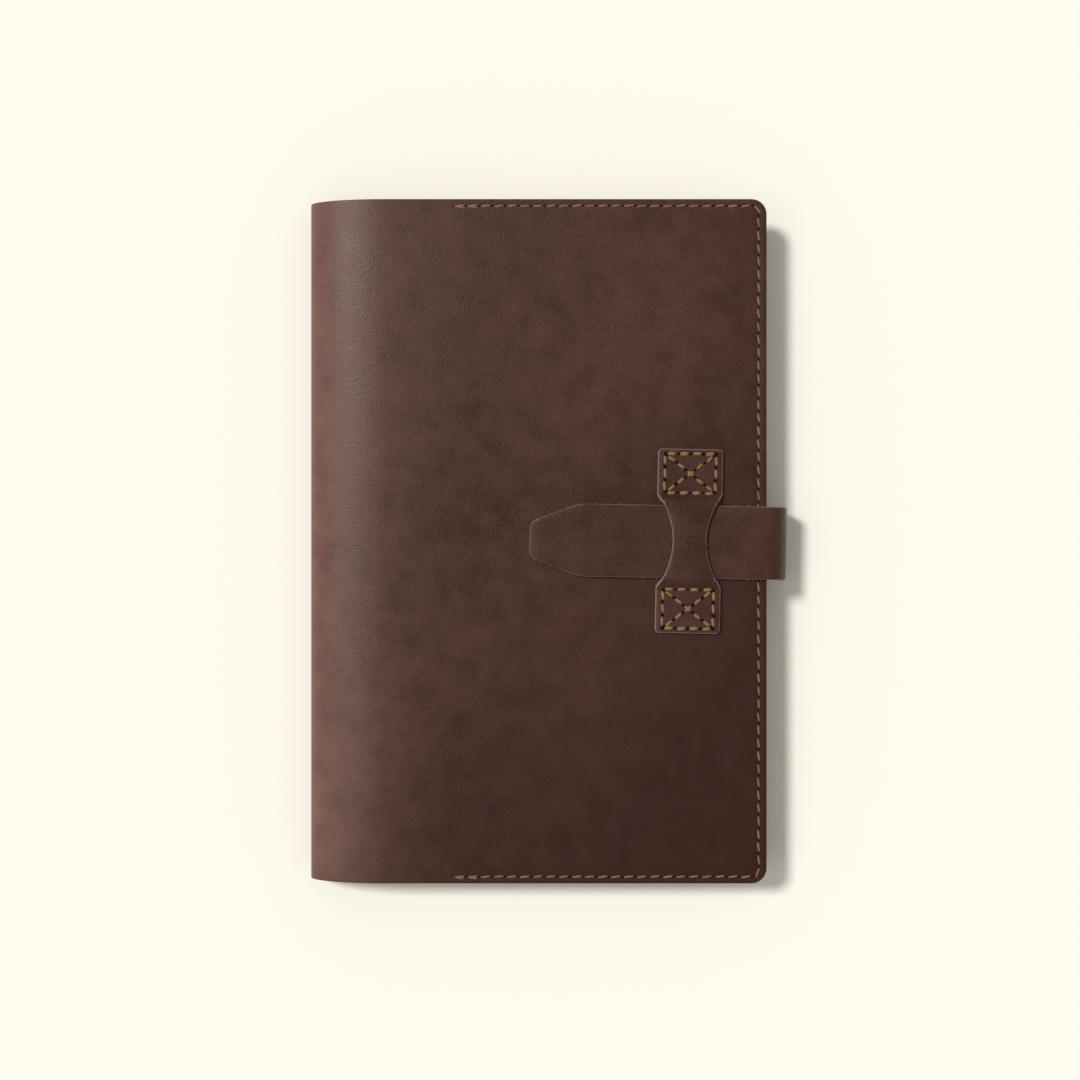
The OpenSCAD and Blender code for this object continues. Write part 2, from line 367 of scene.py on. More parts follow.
# smooth side of oiled leather: slow clouds, mottling, fine pebbled grain and a few scuffs; on the cover the
# spine side is lighter, partly pulled-up leather and partly painted highlight, and the lower right carries
# painted shade
def grainLeather(name, look, pullUpAndHighlight=None):
    finish, tree, shader = newFinish(name, grain["roughest"], grain["specular"])
    place = addNode(tree, "ShaderNodeTexCoord").outputs["Object"]
    slow = cloud(tree, place, grain["slowScale"], 3)
    mottle = cloud(tree, place, grain["mottleScale"], 5, 0.62)
    speck = cloud(tree, place, grain["speckScale"], 2, 0.7)
    tone = mixture(tree, (slow, grain["slow"]), (mottle, grain["mottle"]), (speck, grain["speck"]))
    base = tint(tree, spread(tree, tone, 0.38, 0.64), look["dark"], look["light"])
    # the spine side is lightened: partly the pull-up of leather stretched round the spine, partly a painted
    # highlight where the curve faces the light
    if pullUpAndHighlight:
        across = addNode(tree, "ShaderNodeSeparateXYZ", {0: place}).outputs
        pulledAndHighlit = spread(tree, across["X"], pullUpAndHighlight[0], pullUpAndHighlight[1])
        pulledAndHighlit = combine(tree, "POWER", pulledAndHighlit, grain["pullAndHighlightPower"])
        pulledAndHighlit = combine(tree, "MULTIPLY", pulledAndHighlit, spread(tree, mottle, 0.3, 0.7, 0.62, 0.98))
        base = tint(tree, pulledAndHighlit, base, look["pulledAndHighlit"])
        # painted shade: the cover's colour is darkened towards the lower right, where the light falls off
        paintedShade = mixture(tree, (across["X"], 1), (across["Y"], -0.7))
        paintedShade = spread(tree, paintedShade, grain["paintedShadeFrom"], grain["paintedShadeTo"], 0, grain["paintedShade"])
        base = tint(tree, paintedShade, base, look["dark"])
    scuffs = cloud(tree, stretch(tree, place, (1, 7, 3)), 160, 6, 0.7)
    scuffed = combine(tree, "MULTIPLY", spread(tree, scuffs, 0.64, 0.74), grain["scuffed"])
    base = tint(tree, scuffed, base, look["scuff"])
    wear = addNode(tree, "ShaderNodeAttribute", attribute_name="wear").outputs["Fac"]
    worn = combine(tree, "MULTIPLY", wear, spread(tree, mottle, 0.35, 0.6, look["wear"] * 0.5, look["wear"]))
    base = tint(tree, worn, base, look["worn"])
    tree.links.new(base, shader.inputs["Base Color"])
    tree.links.new(spread(tree, mottle, 0.3, 0.7, grain["smoothest"], grain["roughest"]),
                   shader.inputs["Roughness"])
    pores = {"Vector": place, "Scale": grain["poreScale"], "Randomness": 1.0}
    cells = addNode(tree, "ShaderNodeTexVoronoi", pores, feature="SMOOTH_F1").outputs["Distance"]
    creases = cloud(tree, place, grain["creaseScale"], 5, 0.65)
    height = mixture(tree, (cells, grain["pore"]), (creases, grain["crease"]), (speck, 0.35))
    tree.links.new(bump(tree, height, grain["depth"], 0.8), shader.inputs["Normal"])
    return finish


# suede side and raw cut edge: short fibres and no shine
def fleshLeather(name, dark, light, along=(1, 1, 1), depth=0.00022):
    finish, tree, shader = newFinish(name, 0.92, 0.2, 0.35, (0.85, 0.68, 0.58))
    place = addNode(tree, "ShaderNodeTexCoord").outputs["Object"]
    slow = cloud(tree, place, 35, 4)
    nap = cloud(tree, stretch(tree, place, along), 900, 6, 0.75)
    fibres = cloud(tree, stretch(tree, place, (along[0] * 3, along[1], along[2] * 2)), 1900, 3, 0.7)
    tone = mixture(tree, (slow, 0.4), (nap, 0.35), (fibres, 0.25))
    tree.links.new(tint(tree, spread(tree, tone, 0.34, 0.66), dark, light), shader.inputs["Base Color"])
    tree.links.new(spread(tree, nap, 0.3, 0.7, 0.82, 0.98), shader.inputs["Roughness"])
    height = mixture(tree, (nap, 1), (fibres, 0.6))
    tree.links.new(bump(tree, height, depth, 0.8), shader.inputs["Normal"])
    return finish


# waxed twisted thread: slanting strands follow the stitch's own UV
def waxedThread(name, dark, light, strands=5.0):
    finish, tree, shader = newFinish(name, 0.45, 0.45, 0.15, (1, 0.9, 0.7))
    uv = addNode(tree, "ShaderNodeTexCoord").outputs["UV"]
    place = addNode(tree, "ShaderNodeTexCoord").outputs["Object"]
    slanted = addNode(tree, "ShaderNodeMapping", {"Vector": uv, "Scale": (1.0, strands, 1.0),
                                                  "Rotation": (0, 0, math.radians(12))}).outputs["Vector"]
    ply = addNode(tree, "ShaderNodeTexWave", {"Vector": slanted, "Scale": 1.6, "Distortion": 0.5,
                                              "Detail": 2.0}, bands_direction="DIAGONAL").outputs["Fac"]
    uneven = cloud(tree, place, 240, 3)
    fuzz = cloud(tree, place, 5200, 3, 0.7)
    tone = mixture(tree, (ply, 0.55), (uneven, 0.45), (fuzz, 0.25))
    tree.links.new(tint(tree, spread(tree, tone, 0.3, 0.95), dark, light), shader.inputs["Base Color"])
    tree.links.new(spread(tree, uneven, 0.3, 0.7, 0.36, 0.6), shader.inputs["Roughness"])
    height = mixture(tree, (ply, 1), (fuzz, 0.3))
    tree.links.new(bump(tree, height, 0.00012, 0.9), shader.inputs["Normal"])
    return finish


# painted shade: a near-black finish for the discs that stand for the shade inside the awl holes
def holeShadeFinish(name):
    finish, tree, shader = newFinish(name, 0.95, 0.1)
    place = addNode(tree, "ShaderNodeTexCoord").outputs["Object"]
    crumbs = cloud(tree, place, 2600, 3, 0.7)
    dark = tint(tree, crumbs, (0.004, 0.002, 0.0015), (0.014, 0.007, 0.005))
    tree.links.new(dark, shader.inputs["Base Color"])
    tree.links.new(bump(tree, crumbs, 0.0001, 0.6), shader.inputs["Normal"])
    return finish


# uncoated paper; the leaves show as fine lines along the cut edges
def leafPaper(name, colour, shade, leaves=9000.0, lined=True):
    finish, tree, shader = newFinish(name, 0.85, 0.25, 0.05)
    place = addNode(tree, "ShaderNodeTexCoord").outputs["Object"]
    fibre = cloud(tree, place, 2200, 4, 0.7)
    patches = cloud(tree, place, 45, 3)
    tone = mixture(tree, (fibre, 0.3), (patches, 0.4))
    height = fibre
    if lined:
        edges = cloud(tree, stretch(tree, place, (0.02, 0.02, 1)), leaves, 2, 0.5)
        tone = mixture(tree, (tone, 1), (edges, 0.6))
        height = mixture(tree, (fibre, 1), (edges, 1.4))
    tree.links.new(tint(tree, spread(tree, tone, 0.3, 0.85), shade, colour), shader.inputs["Base Color"])
    tree.links.new(spread(tree, fibre, 0.3, 0.7, 0.78, 0.92), shader.inputs["Roughness"])
    tree.links.new(bump(tree, height, 0.00008, 0.7), shader.inputs["Normal"])
    return finish


def coverCard(name):
    finish, tree, shader = newFinish(name, 0.55, 0.4)
    place = addNode(tree, "ShaderNodeTexCoord").outputs["Object"]
    fibre = cloud(tree, place, 1400, 5, 0.7)
    laid = addNode(tree, "ShaderNodeTexWave", {"Vector": place, "Scale": 620.0, "Distortion": 3.0,
                                               "Detail": 2.0}, bands_direction="Y").outputs["Fac"]
    patches = cloud(tree, place, 60, 3)
    tone = mixture(tree, (fibre, 0.5), (patches, 0.5))
    tree.links.new(tint(tree, spread(tree, tone, 0.35, 0.65), (0.010, 0.009, 0.008), (0.024, 0.021, 0.018)),
                   shader.inputs["Base Color"])
    tree.links.new(spread(tree, fibre, 0.3, 0.7, 0.48, 0.66), shader.inputs["Roughness"])
    height = mixture(tree, (fibre, 1), (laid, 0.5))
    tree.links.new(bump(tree, height, 0.00008, 0.5), shader.inputs["Normal"])
    return finish


def openWeave(name):
    finish, tree, shader = newFinish(name, 0.9, 0.2, 0.2)
    place = addNode(tree, "ShaderNodeTexCoord").outputs["Object"]
    warp = addNode(tree, "ShaderNodeTexWave", {"Vector": place, "Scale": 480.0, "Distortion": 0.8},
                   bands_direction="Y").outputs["Fac"]
    weft = addNode(tree, "ShaderNodeTexWave", {"Vector": place, "Scale": 480.0, "Distortion": 0.8},
                   bands_direction="Z").outputs["Fac"]
    weave = combine(tree, "MAXIMUM", warp, weft)
    tree.links.new(tint(tree, weave, (0.42, 0.38, 0.30), (0.72, 0.68, 0.58)), shader.inputs["Base Color"])
    tree.links.new(spread(tree, weave, 0, 1, 0.95, 0.8), shader.inputs["Roughness"])
    tree.links.new(bump(tree, weave, 0.00015, 0.8), shader.inputs["Normal"])
    return finish


def tableTop(name):
    finish, tree, shader = newFinish(name, 0.9, 0.1)
    place = addNode(tree, "ShaderNodeTexCoord").outputs["Object"]
    faint = cloud(tree, place, 3, 2)
    low = tuple(value * 0.995 for value in studio["floor"])
    tree.links.new(tint(tree, faint, low, studio["floor"]), shader.inputs["Base Color"])
    return finish


def dress(piece, *finishes):
    piece.data.materials.clear()
    for finish in finishes:
        piece.data.materials.append(finish)


setUpStudio()
# x range over which the spine side is lightened, partly pull-up and partly painted highlight
coverGrain = grainLeather("coverGrain", coverLook, (-22 * mm, -79 * mm))
strapGrain = grainLeather("strapGrain", strapLook)
lining = fleshLeather("liningSuede", (0.050, 0.027, 0.019), (0.115, 0.066, 0.047))
rawEdge = fleshLeather("rawEdge", (0.10, 0.058, 0.046), (0.30, 0.19, 0.155), depth=0.0003)
darkEdge = fleshLeather("darkEdge", (0.022, 0.012, 0.010), (0.065, 0.037, 0.029), depth=0.0002)
edgeThread = waxedThread("edgeThread", (0.055, 0.026, 0.012), (0.40, 0.20, 0.105))
keeperThread = waxedThread("keeperThread", (0.085, 0.036, 0.010), (0.41, 0.215, 0.065))
paintedHoleShade = holeShadeFinish("paintedHoleShade")
print("studio and finishes are ready")

# outer leather: one sheet from the back's fore edge, round the spine, to the front's fore edge

cover = {
    "cornerRadius": 4.9 * mm,
    "widestZ": 8.3 * mm,
    "spineSteps": 22,
    "panelStep": 6.0 * mm,
    "ease": 0.42 * mm,
    "grooveDepth": 0.16 * mm,
    "grooveHalf": 0.8 * mm,
    "waviness": 0.16 * mm,
}
seam = {
    "y": halfH - 2.2 * mm,
    "x": foreX - 2.6 * mm,
    "corner": 2.5 * mm,
    "startX": pocketLow.x,
    "stitches": 98,
}


def quarter(centreX, centreZ, a, b, start, stop, steps):
    points = []
    for i in range(1, steps + 1):
        turn = math.radians(start + (stop - start) * i / steps)
        points.append((centreX + a * math.cos(turn), centreZ + b * math.sin(turn)))
    return points


def level(x0, x1, z, step):
    count = max(1, round(abs(x1 - x0) / step))
    return [(x0 + (x1 - x0) * i / count, z) for i in range(1, count + 1)]


# sinks the seam line a little and lets the sheet lie slightly unevenly
def settleSheet(piece, seed, flatX):
    for vertex in piece.data.vertices:
        x, y, z = vertex.co
        upper = z > coverT - leatherT
        lower = z < leatherT
        if not (upper or lower):
            continue
        inward = -1 if upper else 1
        onSide = near(abs(y), seam["y"], 0.1 * mm) and seam["startX"] - 1 * mm < x < seam["x"] + 0.5 * mm
        onFore = near(x, seam["x"], 0.1 * mm) and abs(y) < seam["y"] + 0.5 * mm
        if onSide or onFore:
            vertex.co.z += inward * cover["grooveDepth"]
        toEdge = min(foreX - x, halfH - abs(y), x - flatX)
        calm = min(max((toEdge - 5 * mm) / (20 * mm), 0), 1)
        if upper:
            wave = noise.noise(Vector((x * 22 + seed, y * 22, seed)))
            vertex.co.z += calm * cover["waviness"] * wave


def makeOuterLeather():
    sheet = layStrip("outer_leather", foreX - cover["cornerRadius"], foreX, -halfH, halfH, 0)
    openMesh(sheet)
    startX = foreX - cover["cornerRadius"]
    pick("EDGE", lambda edge: all(near(v.co.x, startX) for v in edge.verts))
    wideX = spineLow.x
    riseBack = cover["widestZ"]
    riseFront = coverT - cover["widestZ"]
    path = [(startX, 0)]
    path += level(startX, backLow.x, 0, cover["panelStep"])
    path += quarter(backLow.x, riseBack, backLow.x - wideX, riseBack, 270, 180, cover["spineSteps"])
    path += quarter(frontLow.x, riseBack, frontLow.x - wideX, riseFront, 180, 90, cover["spineSteps"] + 8)
    path += level(frontLow.x, startX, coverT, cover["panelStep"])
    path += [(foreX, coverT)]
    drawOut(path)
    for z in (0, coverT):
        roundCorners(lambda v: near(v.co.x, foreX) and near(v.co.z, z) and near(abs(v.co.y), halfH),
                     cover["cornerRadius"], 8)
    bpy.ops.mesh.select_mode(type="FACE")
    rows = [-halfH + cover["panelStep"] * i for i in range(1, round(2 * halfH / cover["panelStep"]))]
    for side in (-1, 1):
        rows += [side * (seam["y"] + shift) for shift in (-cover["grooveHalf"], 0, cover["grooveHalf"])]
    cutRows(rows, 1)
    cutRows([seam["x"] + shift for shift in (-cover["grooveHalf"], 0, cover["grooveHalf"])], 0)
    bpy.ops.mesh.select_all(action="SELECT")
    bpy.ops.mesh.remove_doubles(threshold=1e-6)
    bpy.ops.mesh.flip_normals()
    closeMesh()
    settleSheet(sheet, 3.0, frontLow.x)
    dress(sheet, coverGrain, lining, darkEdge)
    thicken(sheet, leatherT, cover["ease"])
    markWear(sheet, cover["ease"])
    softShade(sheet)
    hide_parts("back_panel", "spine", "front_panel")
    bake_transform(sheet)


makeOuterLeather()
print("outer leather is cut and wrapped")

# pockets: suede sheets sewn on three sides, pressed down to the outer leather along the seam

pocket = {
    "thickness": 1.15 * mm,
    "rim": 4.6 * mm,
    "step": 1.6 * mm,
    "ease": 0.3 * mm,
    "sag": 0.25 * mm,
    "strapHalf": 13.4 * mm,
    "strapReach": 8 * mm,
    "rowStep": 7.4 * mm,
    "columnStep": 5 * mm,
    "backPressed": 0.75 * mm,
    "frontPressed": 0.08 * mm,
}


def makePocket(name, faceZ, pressed, facesUp, body, node):
    sign = 1 if facesUp else -1
    sheet = layStrip(name, foreX - cover["cornerRadius"], foreX, -halfH, halfH, faceZ)
    openMesh(sheet)
    startX = foreX - cover["cornerRadius"]
    pick("EDGE", lambda edge: all(near(v.co.x, startX) for v in edge.verts))
    drawOut([(startX, faceZ)] + level(startX, pocketLow.x, faceZ, pocket["columnStep"]))
    roundCorners(lambda v: near(v.co.x, foreX) and near(abs(v.co.y), halfH), cover["cornerRadius"], 8)
    rows = [-halfH + pocket["rowStep"] * i for i in range(1, round(2 * halfH / pocket["rowStep"]))]
    for side in (-1, 1):
        rows += [side * (halfH - pocket["rim"]), side * (halfH - pocket["rim"] - pocket["step"])]
        rows += [side * pocket["strapHalf"], side * (pocket["strapHalf"] + 2 * mm)]
    cutRows(rows, 1)
    cutRows([foreX - pocket["rim"], foreX - pocket["rim"] - pocket["step"]], 0)
    bpy.ops.mesh.select_all(action="SELECT")
    bpy.ops.mesh.remove_doubles(threshold=1e-6)
    if not facesUp:
        bpy.ops.mesh.flip_normals()
    closeMesh()
    for vertex in sheet.data.vertices:
        x, y = vertex.co.xy
        fromEdge = min(foreX - x, halfH - abs(y))
        nearStrap = foreX - x < pocket["strapReach"] and abs(y) < pocket["strapHalf"] + 1 * mm
        strapRoom = facesUp and nearStrap
        if fromEdge < pocket["rim"] + 0.1 * mm and not strapRoom:
            vertex.co.z -= sign * pressed
        calm = min(max((fromEdge - 8 * mm) / (25 * mm), 0), 1)
        wave = noise.noise(Vector((x * 18, y * 18, 7.0 if facesUp else 11.0)))
        vertex.co.z += calm * pocket["sag"] * min(wave * sign, 0.3) * sign
    dress(sheet, lining, lining, rawEdge)
    thicken(sheet, pocket["thickness"], pocket["ease"], 2)
    softShade(sheet)
    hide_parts(node)
    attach(sheet, body)


makePocket("back_pocket_leather", pocketHigh.z, pocket["backPressed"], True, "back_cover", "back_pocket")
makePocket("front_pocket_leather", frontPocketLow.z, pocket["frontPressed"], False, "front_cover",
           "front_pocket")
print("pockets are sewn in")

# strap: from the back's fore edge, round the notebook, to its blunt tapered tip

strap = {
    "width": 23.5 * mm,
    "thickness": 1.65 * mm,
    "rootThickness": 0.44,
    "outermostX": 78.22 * mm,
    "tipX": -5.95 * mm,
    "rootIn": 4.4 * mm,
    "rootZ": 1.85 * mm,
    "bendX": 0.35 * mm,
    "bendLowZ": 1.2 * mm,
    "tailZ": 19.98 * mm,
    "tipLength": 16 * mm,
    "tipWidth": 11.4 * mm,
    "tipCorner": 2.2 * mm,
    "leaveIn": 0.2 * mm,
    "wrapFrom": -72,
    "wrapSteps": 34,
    "step": 4 * mm,
    "rowsY": (-9, -6, -3, 0, 3, 6, 9),
    "thinReach": 2.5 * mm,
    "fullFromZ": 4 * mm,
    "tailFromZ": 19 * mm,
    "waviness": 0.08 * mm,
    "slant": -1.0,
    "ease": 0.58 * mm,
    "cup": 0.12 * mm,
}


def makeStrap():
    centreZ = (strapHigh.z + strap["bendLowZ"]) / 2
    bendX = foreX + strap["bendX"]
    reachX = strap["outermostX"] - bendX
    rise = strapHigh.z - centreZ
    tipX = strap["tipX"]
    rootX = foreX - strap["rootIn"]
    leaveX = foreX - strap["leaveIn"]
    half = strap["width"] / 2
    band = layStrip("strap_leather", rootX, leaveX, -half, half, strap["rootZ"])
    openMesh(band)
    pick("EDGE", lambda edge: all(near(v.co.x, leaveX) for v in edge.verts))
    path = [(leaveX, strap["rootZ"]), (foreX + 1.0 * mm, strap["rootZ"] - 0.1 * mm)]
    path += quarter(bendX, centreZ, reachX, rise, strap["wrapFrom"], 90, strap["wrapSteps"])
    settledX = bendX - 14 * mm
    path += [(bendX - 4 * mm, strapHigh.z - 0.03 * mm), (bendX - 9 * mm, strapHigh.z - 0.12 * mm)]
    path += [(settledX, strap["tailZ"])]
    shoulderX = tipX + strap["tipLength"]
    path += level(settledX, shoulderX + 3 * mm, strap["tailZ"], strap["step"])
    widths = [strap["width"]] * len(path)
    slope = (strap["width"] - strap["tipWidth"]) / strap["tipLength"]
    for shift in (2.0, 1.0, 0.0, -1.0, -2.0, -3.0):
        path.append((shoulderX + shift * mm, strap["tailZ"]))
        curve = (shift * mm - 3 * mm) ** 2 / (12 * mm)
        widths.append(strap["width"] - slope * curve)
    for share in (0.35, 0.5, 0.65, 0.8, 1.0):
        path.append((shoulderX - share * strap["tipLength"], strap["tailZ"]))
        widths.append(strap["width"] - slope * share * strap["tipLength"])
    drawOut(path, 0, widths)
    roundCorners(lambda v: near(v.co.x, tipX, 0.05 * mm), strap["tipCorner"], 5)
    cutRows([y * mm for y in strap["rowsY"]], 1)
    bpy.ops.mesh.select_all(action="SELECT")
    bpy.ops.mesh.remove_doubles(threshold=1e-6)
    bpy.ops.mesh.flip_normals()
    closeMesh()
    full = band.vertex_groups.new(name="full")
    for vertex in band.data.vertices:
        outside = min(max((vertex.co.x - foreX) / strap["thinReach"], 0), 1)
        full.add([vertex.index], 1 if vertex.co.z > strap["fullFromZ"] else outside, "REPLACE")
        if vertex.co.z > strap["tailFromZ"]:
            side = abs(vertex.co.y) / half
            wave = noise.noise(Vector((vertex.co.x * 40, vertex.co.y * 60, 5.0)))
            vertex.co.z += strap["cup"] * (side * side - 0.3) * 0.6 + strap["waviness"] * wave
    middleX = (foreX + tipX) / 2
    turn = Matrix.Translation((middleX, 0, 0)) @ Matrix.Rotation(math.radians(strap["slant"]), 4, "Z")
    band.data.transform(turn @ Matrix.Translation((-middleX, 0, 0)))
    dress(band, strapGrain, lining, rawEdge)
    thicken(band, strap["thickness"], strap["ease"], 3, strap["rootThickness"])
    markWear(band, strap["ease"])
    softShade(band)
    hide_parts("strap")
    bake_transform(band)
    return band


strapBand = makeStrap()
print("strap is wrapped round")

# keeper: bow-tie of leather, pads sewn down and the neck raised over the strap

keeper = {
    "padZ": 19.9 * mm,
    "neckZ": 21.95 * mm,
    "thickness": 1.65 * mm,
    "padWidth": 21.0 * mm,
    "neckWidth": 10.8 * mm,
    "shoulder": 15.4 * mm,
    "rampOut": 16.0 * mm,
    "rampIn": 12.6 * mm,
    "halfLength": (keeperHigh.y - keeperLow.y) / 2,
    "rowsY": (25, 21, 18, 16.6, 16, 15.4, 15, 14.6, 14.1, 13.5, 12.8, 12, 11, 9.5, 7.5, 5, 2.5),
    "columnsX": (-8, -4.6, -2.4, 0, 2.4, 4.6, 8),
    "corner": 1.3 * mm,
    "arch": 0.22 * mm,
    "waviness": 0.1 * mm,
    "padFromY": 16.5 * mm,
    "padMiddleY": 21.85 * mm,
    "padHalfX": 9.5 * mm,
    "padHalfY": 7.6 * mm,
    "puff": 0.12 * mm,
    "tilt": -1.1,
    "ease": 0.46 * mm,
}


def keeperWidth(y):
    share = min(abs(y) / keeper["shoulder"], 1)
    return keeper["neckWidth"] + (keeper["padWidth"] - keeper["neckWidth"]) * share ** 2


def keeperHeight(y):
    share = min(max((keeper["rampOut"] - abs(y)) / (keeper["rampOut"] - keeper["rampIn"]), 0), 1)
    share = share * share * (3 - 2 * share)
    return keeper["padZ"] + (keeper["neckZ"] - keeper["padZ"]) * share


def tiltKeeper(piece):
    turn = Matrix.Translation((keeperX, 0, 0)) @ Matrix.Rotation(math.radians(keeper["tilt"]), 4, "Z")
    piece.data.transform(turn @ Matrix.Translation((-keeperX, 0, 0)))


def makeKeeper():
    half = keeper["halfLength"]
    firstY = half - 2 * mm
    ys = [firstY] + [y * mm for y in keeper["rowsY"]]
    ys = ys + [0] + [-y for y in reversed(ys)] + [-half]
    halfPad = keeper["padWidth"] / 2
    tie = layStrip("keeper_leather", keeperX - halfPad, keeperX + halfPad, firstY, half, keeper["padZ"])
    openMesh(tie)
    pick("EDGE", lambda edge: all(near(v.co.y, firstY) for v in edge.verts))
    path = [(y, keeperHeight(y)) for y in ys]
    drawOut(path, 1, [keeperWidth(y) for y in ys])
    roundCorners(lambda v: near(abs(v.co.y), half), keeper["corner"], 4)
    cutRows([keeperX + x * mm for x in keeper["columnsX"]], 0)
    bpy.ops.mesh.select_all(action="SELECT")
    bpy.ops.mesh.remove_doubles(threshold=1e-6)
    bpy.ops.mesh.normals_make_consistent(inside=False)
    closeMesh()
    if sum(face.normal.z for face in tie.data.polygons) < 0:
        tie.data.flip_normals()
    for vertex in tie.data.vertices:
        x, y, z = vertex.co
        side = abs(x - keeperX) / (keeperWidth(y) / 2)
        raised = (z - keeper["padZ"]) / (keeper["neckZ"] - keeper["padZ"])
        vertex.co.z -= keeper["arch"] * side * side * raised
        vertex.co.z += keeper["waviness"] * noise.noise(Vector((x * 90, y * 90, 2.0)))
        if abs(y) > keeper["padFromY"]:
            fromMiddleX = abs(x - keeperX) / keeper["padHalfX"]
            fromMiddleY = abs(abs(y) - keeper["padMiddleY"]) / keeper["padHalfY"]
            inBox = max(0, 1 - max(fromMiddleX, fromMiddleY))
            vertex.co.z += keeper["puff"] * min(1, inBox * 3)
    tiltKeeper(tie)
    dress(tie, strapGrain, lining, rawEdge)
    thicken(tie, keeper["thickness"], keeper["ease"])
    markWear(tie, keeper["ease"])
    softShade(tie)
    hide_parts("keeper")
    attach(tie, "front_cover")
    return tie


keeperTie = makeKeeper()
print("keeper is shaped")

# loose fibres along the cut edges of the strap and keeper

fibre = {
    "strapCount": 420,
    "keeperCount": 170,
    "girth": 0.085 * mm,
    "shortest": 0.35 * mm,
    "longest": 1.0 * mm,
    "bend": 3.0,
    "rooted": 0.05 * mm,
}


# a tapered hair one unit long that stands on the origin
def modelFibre():
    dropSelection()
    bpy.ops.mesh.primitive_cone_add(vertices=3, radius1=0.5, radius2=0.12, depth=1, location=(0, 0, 0.5))
    model = bpy.context.object
    model.name = "oneFibre"
    bpy.ops.object.transform_apply(location=True, rotation=True, scale=True)
    openMesh(model)
    cutRows([0.25, 0.5, 0.75], 2)
    closeMesh()
    for vertex in model.data.vertices:
        vertex.co.x += fibre["bend"] * vertex.co.z ** 2
    dress(model, rawEdge)
    return model


def pluckFibres(name, model, leather, count, seed):
    dice = random.Random(seed)
    points = leather.data.vertices
    edges = [face for face in leather.data.polygons if face.material_index == 2
             and (face.center.x > foreX or face.center.z > coverT - leatherT)]
    hairs = []
    for face in dice.choices(edges, weights=[face.area for face in edges], k=count):
        shares = [dice.uniform(0.05, 1) for _ in face.vertices]
        spot = Vector()
        for share, index in zip(shares, face.vertices):
            spot += points[index].co * share / sum(shares)
        lean = face.normal + Vector([dice.uniform(-0.8, 0.8) for _ in range(3)])
        length = dice.uniform(fibre["shortest"], fibre["longest"])
        outward = lean.to_track_quat("Z", "Y").to_matrix().to_4x4()
        turn = outward @ Matrix.Rotation(dice.uniform(0, 6.28), 4, "Z")
        size = Matrix.Diagonal((fibre["girth"], fibre["girth"], length, 1))
        hair = copyOf(model)
        hair.data.transform(Matrix.Translation(spot - face.normal * fibre["rooted"]) @ turn @ size)
        hairs.append(hair)
    return joinAll(hairs, name)


oneFibre = modelFibre()
strapFibres = pluckFibres("strap_fibres", oneFibre, strapBand, fibre["strapCount"], 41)
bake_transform(strapFibres)
keeperFibres = pluckFibres("keeper_fibres", oneFibre, keeperTie, fibre["keeperCount"], 43)
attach(keeperFibres, "front_cover")
bpy.data.objects.remove(oneFibre)
print("cut edges have their fibres")

# stitches: one is modelled and copied along every seam

stitch = {
    "sides": 8,
    "rings": 8,
    "edgeWidth": 0.70 * mm,
    "edgeHeight": 0.62 * mm,
    "edgeShare": 0.92,
    "edgeSlant": 9.0,
    "padWidth": 1.3 * mm,
    "padHeight": 1.1 * mm,
    "padShare": 0.80,
    "padSlant": 6.0,
    "holeLength": 1.25 * mm,
    "holeWidth": 0.86 * mm,
    "holeHeight": 0.12 * mm,
    "holeSlant": 62,
    "holeLift": 0.02 * mm,
    "padHoleLength": 1.375 * mm,
    "padHoleWidth": 1.032 * mm,
    "padHoleHeight": 0.16 * mm,
    "padHoleSlant": 50,
    "backLift": 0.10 * mm,
    "backShift": 0.35 * mm,
    "tableGap": 0.12 * mm,
}


# a stitch one unit long and wide, fat in the middle, its ends diving into the leather
def modelStitch():
    dropSelection()
    bpy.ops.mesh.primitive_uv_sphere_add(segments=stitch["sides"], ring_count=stitch["rings"], radius=0.5)
    model = bpy.context.object
    model.name = "oneStitch"
    model.data.transform(Matrix.Rotation(math.radians(90), 4, "Y"))
    for vertex in model.data.vertices:
        along = vertex.co.x * 2
        girth = 1
        if abs(along) < 0.999:
            girth = (1 - abs(along) ** 3.2) ** 0.5 / max((1 - along * along) ** 0.5, 0.05)
        vertex.co.y *= min(girth, 1.5)
        vertex.co.z *= min(girth, 1.5)
        vertex.co.z -= 0.62 * abs(along) ** 3
    for face in model.data.polygons:
        face.use_smooth = True
    dress(model, edgeThread, paintedHoleShade)
    return model


# a flattened disc laid on the leather at each awl hole; its dark colour is painted shade of the hole
def modelHoleShade():
    dropSelection()
    bpy.ops.mesh.primitive_uv_sphere_add(segments=8, ring_count=4, radius=0.5)
    model = bpy.context.object
    model.name = "oneHoleShade"
    dress(model, edgeThread, paintedHoleShade)
    for face in model.data.polygons:
        face.use_smooth = True
        face.material_index = 1
    return model


oneStitch = modelStitch()
oneHoleShade = modelHoleShade()


def copyAt(model, centre, direction, size, facesUp):
    copy = copyOf(model)
    turn = Matrix.Rotation(math.radians(direction), 4, "Z")
    if not facesUp:
        turn = turn @ Matrix.Rotation(math.pi, 4, "X")
    copy.data.transform(Matrix.Translation(centre) @ turn @ Matrix.Diagonal((*size, 1)))
    return copy


def joinStitches(parts, name, thread):
    row = joinAll(parts, name)
    row.data.materials[0] = thread
    return row


def finishStitches(row, node, body):
    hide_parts(node)
    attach(row, body)


